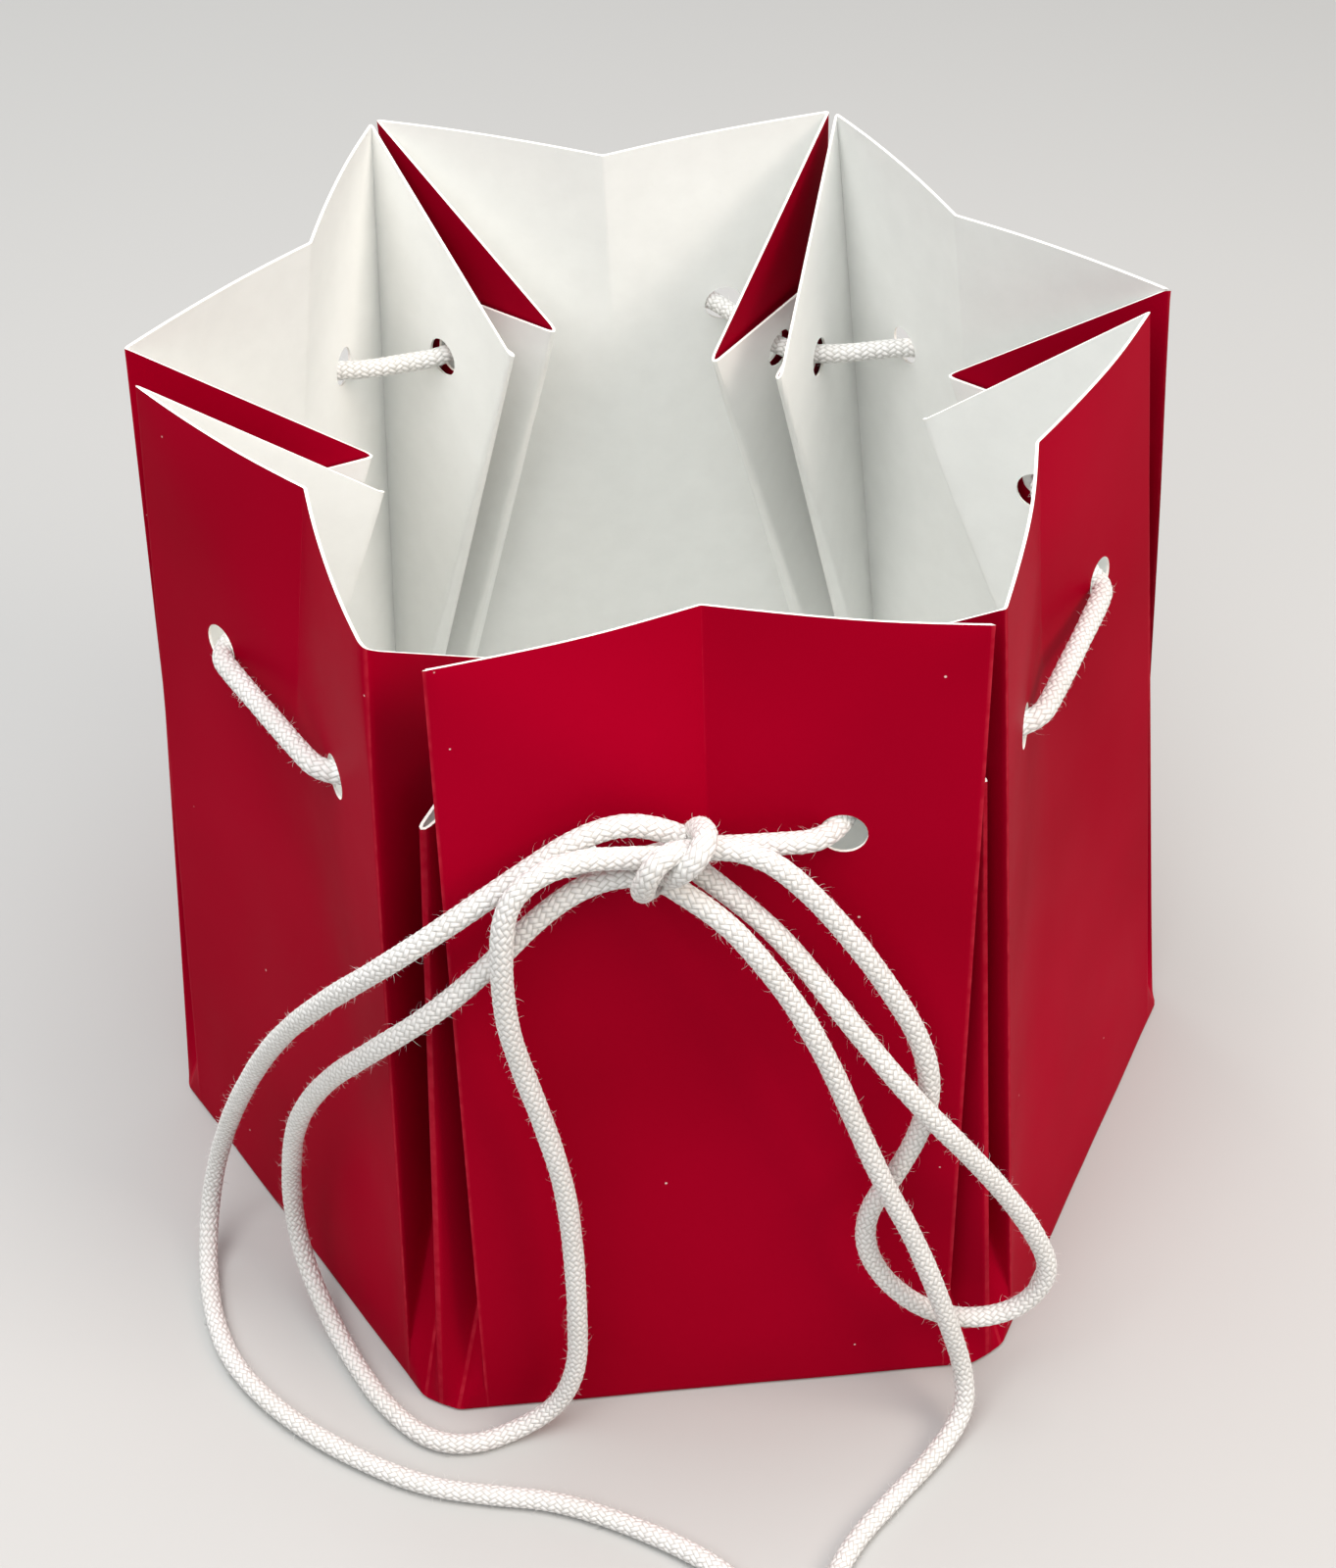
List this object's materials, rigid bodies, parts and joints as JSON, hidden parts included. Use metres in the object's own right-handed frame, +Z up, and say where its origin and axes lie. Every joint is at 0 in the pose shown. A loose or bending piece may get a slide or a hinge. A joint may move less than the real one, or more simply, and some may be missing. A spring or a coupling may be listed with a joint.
{
  "type": "cardboard gift box",
  "caption": "Open six-sided gift box folded from one sheet of card, its pleated corners drawn in by a cord laced through punched holes and tied in a bow.",
  "frame": {"origin": "middle of the base's underside", "axes": "+Z up; the wall with the bow faces -Y; +X to the right as the bow is seen"},
  "size_m": [0.2558, 0.3094, 0.2193],
  "materials": {
    "card": "gloss",
    "cord": "matte"
  },
  "bodies": {
    "root": {"folded_card": "card", "laced_cord": "cord", "bow_knot": "cord", "left_loop": "cord", "right_loop": "cord", "left_tail": "cord", "right_tail": "cord"}
  },
  "joints": []
}
